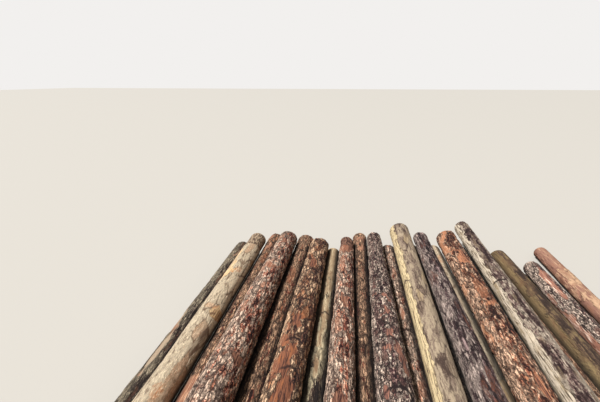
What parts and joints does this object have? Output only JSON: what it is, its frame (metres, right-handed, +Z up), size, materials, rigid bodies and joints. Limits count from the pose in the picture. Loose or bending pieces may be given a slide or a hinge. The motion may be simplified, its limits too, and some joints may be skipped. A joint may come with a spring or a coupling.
{
  "type": "stack of logs",
  "caption": "Broad low stack of sawlogs in two tiers, the top logs lying in the valleys between the ground logs, bark on most.",
  "frame": {"origin": "on the ground, at the centre of the stack's footprint", "axes": "+X across the logs, along the row they lie in; +Y along the logs towards their back ends; +Z up"},
  "size_m": [7.9083, 7.362, 0.9332],
  "materials": {
    "tan_bark": "dry pale tan bark, rough, broken into flakes",
    "red_bark": "dry red brown plated bark, very rough",
    "dark_bark": "dark scaly bark, very rough",
    "grey_bark": "weathered grey brown bark, cracked, rough",
    "pale_wood": "peeled pale wood, weathered, matt",
    "olive_wood": "peeled wood gone olive grey, matt",
    "pink_wood": "peeled pinkish wood, matt"
  },
  "bodies": {
    "root": {"ground_log_01": "grey_bark", "ground_log_02": "grey_bark", "ground_log_03": "red_bark", "ground_log_04": "olive_wood", "ground_log_05": "dark_bark", "ground_log_06": "grey_bark", "ground_log_07": "dark_bark", "ground_log_08": "tan_bark", "ground_log_09": "grey_bark", "ground_log_10": "dark_bark", "ground_log_11": "olive_wood", "ground_log_12": "grey_bark", "ground_log_13": "pink_wood", "top_log_01": "tan_bark", "top_log_02": "red_bark", "top_log_03": "red_bark", "top_log_04": "red_bark", "top_log_05": "dark_bark", "top_log_06": "pale_wood", "top_log_07": "grey_bark", "top_log_08": "red_bark", "top_log_09": "pale_wood"}
  },
  "joints": []
}
